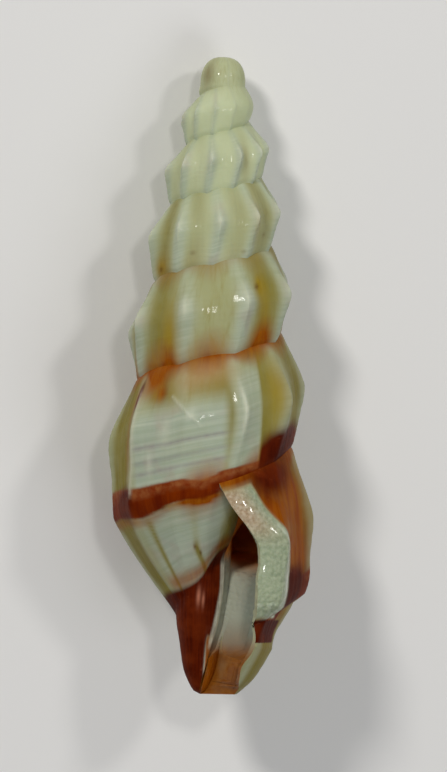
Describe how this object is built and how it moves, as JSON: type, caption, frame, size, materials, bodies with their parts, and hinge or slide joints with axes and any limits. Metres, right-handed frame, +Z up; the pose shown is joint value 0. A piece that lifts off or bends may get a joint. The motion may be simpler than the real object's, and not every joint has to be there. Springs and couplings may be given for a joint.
{
  "type": "sea snail shell",
  "caption": "Slender spindle-shaped sea snail shell with a tall ribbed spire, angular whorls, a narrow slit aperture with a thickened outer lip and a short open canal, lying on its back.",
  "frame": {"origin": "centre of the bounding box, on the surface that the shell lies on", "axes": "+Y along the shell towards the apex, +Z up, on the side of the aperture, +X towards the outer lip"},
  "size_m": [0.0024, 0.0074, 0.0025],
  "materials": {
    "shell": "gloss"
  },
  "bodies": {
    "root": {"shell": "shell"}
  },
  "joints": []
}
